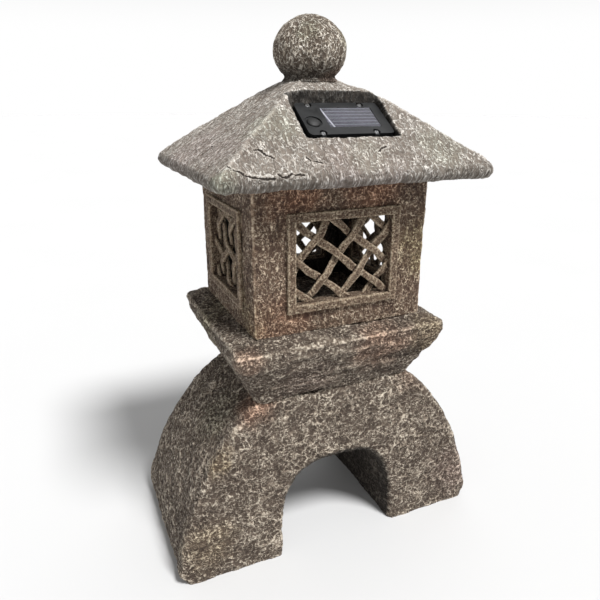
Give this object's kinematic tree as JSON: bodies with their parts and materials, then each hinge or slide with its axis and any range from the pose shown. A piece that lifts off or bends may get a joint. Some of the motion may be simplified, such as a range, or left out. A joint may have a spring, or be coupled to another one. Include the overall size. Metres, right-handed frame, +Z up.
{
  "type": "garden lantern",
  "caption": "Stacked stone garden lantern: arched base, flared platform, light box with lattice windows, hipped roof with ball finial and a solar lamp unit let into its front slope.",
  "frame": {"origin": "on the ground, under the centre of the lantern", "axes": "+Z up, the front with the solar unit faces -Y, +X to the right seen from the front"},
  "size_m": [0.3582, 0.2336, 0.5445],
  "materials": {
    "dark_stone": "rough hand-carved brown-grey stone with pale dry-brushed ridges",
    "pale_stone": "rough weathered grey-taupe stone with pale streaks",
    "finial_stone": "rough weathered grey-brown stone",
    "black_plastic": "satin moulded black",
    "black_rubber": "smooth moulded rubber",
    "steel": "bright zinc-plated",
    "silicon": "violet-grey solar cell with fine grid lines",
    "clear_resin": "clear potting over the cell",
    "frosted_plastic": "frosted translucent",
    "board": "green solder mask",
    "battery_wrap": "shrink-wrapped cell, steel end",
    "copper": "tinned copper wire"
  },
  "bodies": {
    "base": {"base_arch": "dark_stone", "platform": "dark_stone", "light_box": "dark_stone", "window_front": "dark_stone", "window_right": "dark_stone", "window_back": "dark_stone", "window_left": "dark_stone"},
    "roof": {"roof": "pale_stone", "finial": "finial_stone", "housing": "black_plastic", "gasket": "black_rubber", "face_cover": "black_plastic", "solar_cell": "silicon", "cell_glazing": "clear_resin", "cover_screw_1": "steel", "cover_screw_2": "steel", "cover_screw_3": "steel", "cover_screw_4": "steel", "switch_body": "black_plastic", "circuit_board": "board", "cell_lead_positive": "copper", "cell_lead_negative": "copper", "battery": "battery_wrap", "contact_plate": "steel", "contact_spring": "steel", "led": "frosted_plastic", "led_lens": "frosted_plastic"},
    "button": {"switch_cap": "black_rubber", "switch_plunger": "frosted_plastic"}
  },
  "joints": [
    {"name": "roof_lift", "type": "slide", "parent": "base", "child": "roof", "axis": [0, 0, 1], "range_m": [0, 0.12]},
    {"name": "switch_press", "type": "slide", "parent": "roof", "child": "button", "axis": [0, 0.5519, -0.8339], "range_m": [0, 0.0012], "stiffness_N_per_m": 300, "springref_m": -0.001}
  ]
}
